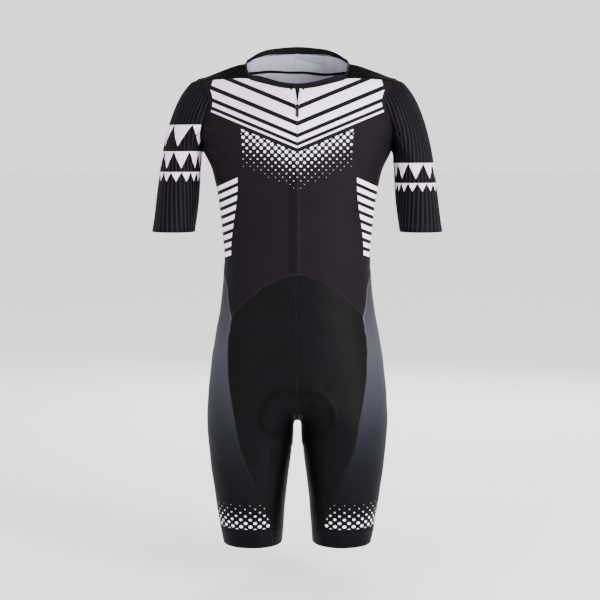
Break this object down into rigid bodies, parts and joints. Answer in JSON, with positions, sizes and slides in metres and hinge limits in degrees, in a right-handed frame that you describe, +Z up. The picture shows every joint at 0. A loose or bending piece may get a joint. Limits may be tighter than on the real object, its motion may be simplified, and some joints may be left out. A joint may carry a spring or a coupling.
{
  "type": "cycling skinsuit",
  "caption": "Short-sleeved, short-legged cycling skinsuit in its worn hollow form, black and grey, with a centre front zip.",
  "frame": {"origin": "Between the shoulders at the base of the neck, where the wearer carries the suit.", "axes": "+Z up the body, -Y the front, +X the wearer's left."},
  "size_m": [0.558, 0.2405, 0.9634],
  "materials": {
    "black_knit": "matte",
    "ribbed_knit": "matte",
    "black_lycra": "satin",
    "grey_knit": "satin",
    "black_band": "matte",
    "pale_tape": "matte",
    "tag_cloth": "matte",
    "pad_cloth": "matte",
    "zip_metal": "satin"
  },
  "bodies": {
    "suit": {"front_left": "black_knit", "front_right": "black_knit", "yoke_left": "black_knit", "yoke_right": "black_knit", "back": "black_knit", "collar": "black_band", "sleeve_left": "ribbed_knit", "sleeve_right": "ribbed_knit", "side_left": "grey_knit", "side_right": "grey_knit", "short_front_left": "black_lycra", "short_front_right": "black_lycra", "short_back_left": "black_lycra", "short_back_right": "black_lycra", "seat_pad": "pad_cloth", "yoke_tape": "black_band", "neck_label": "tag_cloth", "zip_tape_left": "pale_tape", "zip_tape_right": "pale_tape", "zip_slider": "zip_metal"},
    "pull_tab": {"zip_pull": "zip_metal"}
  },
  "joints": [
    {"name": "pull_hinge", "type": "hinge", "parent": "suit", "child": "pull_tab", "pos_m": [0, -0.09946, -0.09112], "axis": [-1, 0, 0], "range_deg": [0, 150]}
  ]
}
